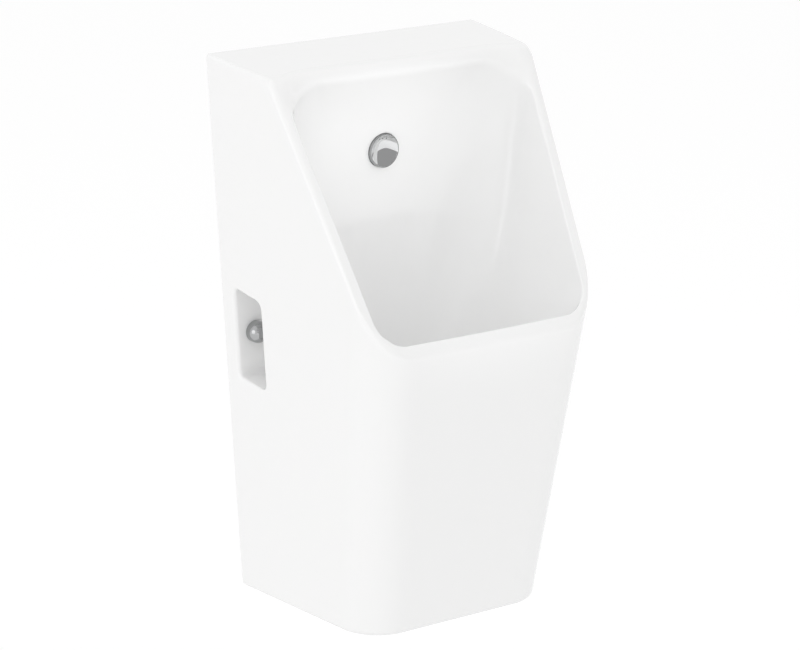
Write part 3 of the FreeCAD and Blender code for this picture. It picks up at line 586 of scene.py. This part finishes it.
def hollowOut(skin):
    c = ceramic
    past, wall = c["past"], c["wall"]
    low, high = c["windowLow"] - c["windowFall"] - c["pocketWall"], c["windowHigh"] + c["pocketWall"]
    near, far = c["pocketX"] - c["pocketWall"], c["topWidth"]
    front = c["windowFront"] + c["pocketWall"]
    space = innerSpace()
    boss = [(c["sprayBossR"], c["sprayRearDepth"]), (c["sprayBossR"], c["spraySeatDepth"])]
    carve(space, [bowlBack(), block("pocket_left", (-far, -2 * past, low), (-near, front, high)),
                  block("pocket_right", (near, -2 * past, low), (far, front, high)),
                  lathe("boss", boss, 64, (0, 0, c["sprayHeight"]))])
    stud = [(c["studHoleR"], -past), (c["studHoleR"], c["windowBack"] + past)]
    seat = c["spraySeatDepth"]
    spray = [(c["sprayHoleR"], 0), (c["sprayHoleR"], seat), (c["spraySeatR"], seat),
             (c["spraySeatR"], seat + past)]
    drain = [(c["drainHoleR"], c["floorHeight"] - wall - past), (c["drainHoleR"], c["floorHeight"] + past)]
    service = [(c["serviceR"], -past), (c["serviceR"], wall + past)]
    tools = [lathe("stud_hole", stud, 48, (x, 0, c["studHeight"])) for x in (-c["studX"], c["studX"])]
    tools += [lathe("drain_hole", hole, 96, (0, c["floorDepth"], 0), "height") for hole in (drain, service)]
    tools += [lathe("spray_hole", spray, 96, (0, 0, c["sprayHeight"])), space]
    for tool in tools:
        tool.data.materials.append(bisque)
    carve(skin, tools)


urinal = ceramicSkin()
urinal.data.materials.append(glaze)
hollowOut(urinal)
urinal.data.set_sharp_from_angle(angle=math.radians(35))
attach(urinal, "fixed_body")
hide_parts("ceramic_body")
print("ceramic:", len(urinal.data.polygons), "faces")

# Spray head: a thin flange with its shank, and the dished insert that fills its face

spray = {"flangeR": 18.0, "insertR": 17.3, "gap": 0.15, "face": 76.2, "flangeBack": 69.2, "seat": 70.0,
         "edge": 0.4, "shankR": 10.4, "boreR": 7.0, "shankEnd": 30.0,
         "tailR": 6.6, "tailBoreR": 4.6, "tailEnd": 57.5, "tailBoreEnd": 69.6, "pole": 0.3,
         "grooveR": 5.7, "groove": (59.3, 61.1), "dish": 5.6, "dishRise": 8.0,
         "jetR": 0.7, "jetRise": 12.0, "jetSpread": 4.5, "jetPast": 1.0}


def sprayFlange():
    # the shank's wall, the flange with a rounded edge and the recess for the insert, as one closed ring
    c = spray
    r, e, recess = c["flangeR"], c["edge"], c["insertR"] + c["gap"]
    outline = [(c["boreR"], c["shankEnd"]), (c["shankR"] - e, c["shankEnd"]),
               (c["shankR"], c["shankEnd"] + e), (c["shankR"], c["flangeBack"]),
               (r, c["flangeBack"]), *arc(r - e, c["face"] - e, e, 90, 0),
               (recess, c["face"]), (recess, c["seat"]), (c["boreR"], c["seat"])]
    return lathe("spray_flange", outline, 128, (0, 0, ceramic["sprayHeight"]), ring=True)


def sprayDish():
    # tail with bore and groove, a rounded rim, and a spoon: rings that shrink, sink with the square of
    # the way in and climb evenly, so that its upper wall is the steep one
    c = spray
    r, e = c["insertR"], c["edge"]
    tail = [(c["pole"], c["tailBoreEnd"]), (c["tailBoreR"], c["tailBoreEnd"]), (c["tailBoreR"], c["tailEnd"]),
            (c["tailR"], c["tailEnd"]), (c["tailR"], c["groove"][0]), (c["grooveR"], c["groove"][0]),
            (c["grooveR"], c["groove"][1]), (c["tailR"], c["groove"][1]), (c["tailR"], c["seat"] + c["gap"]),
            (r, c["seat"] + c["gap"]), *arc(r - e, c["face"] - e, e, 90, 0)]
    tail = np.pad(np.array(tail), ((0, 0), (0, 1)))
    way = np.linspace(0, 0.98, 33)[1:]
    sink = c["dish"] * (1 - (1 - way) ** 2)
    spoon = np.stack([(r - e) * (1 - way), c["face"] - sink, c["dishRise"] * way], -1)
    dish = lathe("spray_dish", np.concatenate([tail, spoon]), 128, (0, 0, ceramic["sprayHeight"]))
    jet = [(c["jetR"], c["seat"] - c["gap"]), (c["jetR"], c["face"] + c["jetPast"])]
    places = [(k * c["jetSpread"], 0, ceramic["sprayHeight"] + c["jetRise"]) for k in (-1, 0, 1)]
    carve(dish, [lathe("jet", jet, 24, place) for place in places])
    dish.data.set_sharp_from_angle(angle=math.radians(35))
    return dish


flange, dish = sprayFlange(), sprayDish()
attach(flange, "fixed_body")
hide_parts("spray_body")
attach(dish, "insert_body")
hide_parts("spray_insert")

# Stud caps: a skirt with half a ball in front of it, hollow behind

cap = {"r": 11.6, "skin": 0.9, "near": 22.3, "skirt": 5.5, "edge": (0.3, 0.4), "pole": 1.5}  # pole in degrees


def studCap(name, x):
    c = cap
    front, inner = c["near"] + c["skirt"], c["r"] - c["skin"]
    across, along = c["edge"]
    outline = [*arc(0, front, inner, c["pole"], 90, 20),
               (inner, c["near"] + along), (inner + across, c["near"]),
               (c["r"] - across, c["near"]), (c["r"], c["near"] + along),
               *arc(0, front, c["r"], 90, c["pole"], 24)]
    return lathe(name, outline, 96, (x, 0, ceramic["studHeight"]))


caps = {"cap_left": studCap("cap_left_dome", -ceramic["studX"]),
        "cap_right": studCap("cap_right_dome", ceramic["studX"])}
for node, piece in caps.items():
    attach(piece, node + "_body")
    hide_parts(node)
# the dish gets the chrome; the flange and the caps get the darker copy, with painted shade in their
# reflections
for piece in (flange, dish, *caps.values()):
    piece.data.materials.clear()
    piece.data.materials.append(chrome if piece == dish else shadedChrome)
print("chrome pieces:", 2 + len(caps))

# Materials of the other pieces

slotMaterial = {"glaze": glaze, "chrome": chrome, "brass": brass, "steel": steel, "zinc_steel": zinc,
                "rubber": rubber, "white_plastic": plastic}
for part in frame["record"]["subparts"]:
    mesh = frame["nodes"][part["node"]].data
    mesh.materials.clear()
    mesh.materials.append(slotMaterial[part["material_slot"]])
print("materials:", len(slotMaterial))

# Floor, light and camera

studio = {
    "floorZ": -0.626, "floorReach": 30.0, "floorLift": 0.22, "world": 0.84,
    "openSide": (0.3, -0.95, 0.05), "openLevel": 0.37, "openFade": (0.1, 0.75),
    "lampAway": 4.5, "lampSize": 3.0,                      # soft lamps: turn and lift in degrees, watts
    "lamps": {"front_left": (-38, 8, 7.0), "left": (-85, 8, 21.0), "above": (-40, 80, 3.0),
              "front_high": (0, 40, 9.5)},
    "spotAt": (-0.025, -0.08, 0.225), "spotTurn": 8, "spotLift": -25, "spotAway": 1.8, "spotWatts": 47.0,
    "spotCone": 6.7, "spotSize": 0.12,                     # lifts the back of the bowl
}


def seenRays(tree):
    # 1 for rays from the eye, and for those that metal and glass send on
    path = tree.nodes.new("ShaderNodeLightPath")
    seen = path.outputs["Is Camera Ray"]
    for kind in ("Is Glossy Ray", "Is Transmission Ray"):
        most = tree.nodes.new("ShaderNodeMath")
        most.operation = "MAXIMUM"
        tree.links.new(seen, most.inputs[0])
        tree.links.new(path.outputs[kind], most.inputs[1])
        seen = most.outputs[0]
    return seen


floorMesh = bpy.data.meshes.new("floor")
reach, z = studio["floorReach"], studio["floorZ"]
floorMesh.from_pydata([(-reach, -reach, z), (reach, -reach, z), (reach, reach, z), (-reach, reach, z)],
                      [], [(0, 1, 2, 3)])
floor = bpy.data.objects.new("floor", floorMesh)
scene.collection.objects.link(floor)
paleFloor, tree, shader = newMaterial("pale_floor", (0.9, 0.9, 0.9), roughness=0.9)
shader.inputs["Specular IOR Level"].default_value = 0.0
shader.inputs["Emission Color"].default_value = (1, 1, 1, 1)
lift = tree.nodes.new("ShaderNodeMath")       # lifts the floor to white where it is seen, the shadow stays
lift.operation = "MULTIPLY"
lift.inputs[1].default_value = studio["floorLift"]
tree.links.new(seenRays(tree), lift.inputs[0])
tree.links.new(lift.outputs[0], shader.inputs["Emission Strength"])
floorMesh.materials.append(paleFloor)

# white to the eye, a little lower as a lamp, and in reflections falling off to the studio's open side
world = bpy.data.worlds.new("studio")
scene.world = world
world.use_nodes = True
tree = world.node_tree
dome = tree.nodes["Background"]
dome.inputs["Color"].default_value = (1, 1, 1, 1)
dome.inputs["Strength"].default_value = studio["world"]
white = tree.nodes.new("ShaderNodeBackground")
white.inputs["Color"].default_value = (1, 1, 1, 1)
mirrored = tree.nodes.new("ShaderNodeBackground")
mirrored.inputs["Color"].default_value = (1, 1, 1, 1)
way = tree.nodes.new("ShaderNodeTexCoord")
toOpen = tree.nodes.new("ShaderNodeVectorMath")
toOpen.operation = "DOT_PRODUCT"
toOpen.inputs[1].default_value = studio["openSide"]
fade = tree.nodes.new("ShaderNodeMapRange")
fade.interpolation_type = "SMOOTHSTEP"
fade.inputs["From Min"].default_value, fade.inputs["From Max"].default_value = studio["openFade"]
fade.inputs["To Min"].default_value = 1.0
fade.inputs["To Max"].default_value = studio["openLevel"]
tree.links.new(way.outputs["Generated"], toOpen.inputs[0])
tree.links.new(toOpen.outputs["Value"], fade.inputs["Value"])
tree.links.new(fade.outputs["Result"], mirrored.inputs["Strength"])
path = tree.nodes.new("ShaderNodeLightPath")
seen = tree.nodes.new("ShaderNodeMath")
seen.operation = "MAXIMUM"
eye = tree.nodes.new("ShaderNodeMixShader")
gloss = tree.nodes.new("ShaderNodeMixShader")
tree.links.new(path.outputs["Is Camera Ray"], seen.inputs[0])
tree.links.new(path.outputs["Is Transmission Ray"], seen.inputs[1])
tree.links.new(path.outputs["Is Glossy Ray"], gloss.inputs["Fac"])
tree.links.new(dome.outputs[0], gloss.inputs[1])
tree.links.new(mirrored.outputs[0], gloss.inputs[2])
tree.links.new(seen.outputs[0], eye.inputs["Fac"])
tree.links.new(gloss.outputs[0], eye.inputs[1])
tree.links.new(white.outputs[0], eye.inputs[2])
tree.links.new(eye.outputs[0], tree.nodes["World Output"].inputs["Surface"])


def placeLamp(name, kind, turn, lift, away, watts, target=(0, 0, 0)):
    lamp = bpy.data.objects.new(name, bpy.data.lights.new(name, kind))
    lamp.data.energy = watts
    turn, lift = math.radians(turn), math.radians(lift)
    toLamp = Vector((math.sin(turn) * math.cos(lift), -math.cos(turn) * math.cos(lift), math.sin(lift)))
    lamp.location = Vector(target) + toLamp * away
    lamp.rotation_euler = toLamp.to_track_quat("Z", "Y").to_euler()
    scene.collection.objects.link(lamp)
    return lamp


for name, (turn, lift, watts) in studio["lamps"].items():
    soft = placeLamp(name, "AREA", turn, lift, studio["lampAway"], watts)
    soft.data.shape = "DISK"
    soft.data.size = studio["lampSize"]
    soft.visible_glossy = name != "front_high"             # no round patch in the spray head
spot = placeLamp("bowl_spot", "SPOT", studio["spotTurn"], studio["spotLift"], studio["spotAway"],
                 studio["spotWatts"], studio["spotAt"])
spot.data.spot_size = math.radians(studio["spotCone"])
spot.data.spot_blend = 1.0
spot.data.shadow_soft_size = studio["spotSize"]
spot.visible_glossy = spot.visible_camera = False          # no streak in the glaze

photoView = {"azimuth": -37.846, "elevation": 15.613, "roll": 0.934, "lens": 157.635, "sensor": 36.0,
             "eye": (-2.15005, -2.87331, 0.98499), "clipEnd": 50.0}
a, e, r = (math.radians(photoView[k]) for k in ("azimuth", "elevation", "roll"))
back = Vector((math.sin(a) * math.cos(e), -math.cos(a) * math.cos(e), math.sin(e)))
level = Vector((math.cos(a), math.sin(a), 0))
right = level * math.cos(r) + back.cross(level) * math.sin(r)
up = back.cross(right)
camera = bpy.data.objects.new("camera", bpy.data.cameras.new("camera"))
camera.data.lens = photoView["lens"]
camera.data.sensor_width = photoView["sensor"]
camera.data.clip_end = photoView["clipEnd"]
camera.matrix_world = Matrix.Translation(photoView["eye"]) @ Matrix((right, up, back)).transposed().to_4x4()
scene.collection.objects.link(camera)
scene.camera = camera
scene.view_settings.view_transform = "Standard"
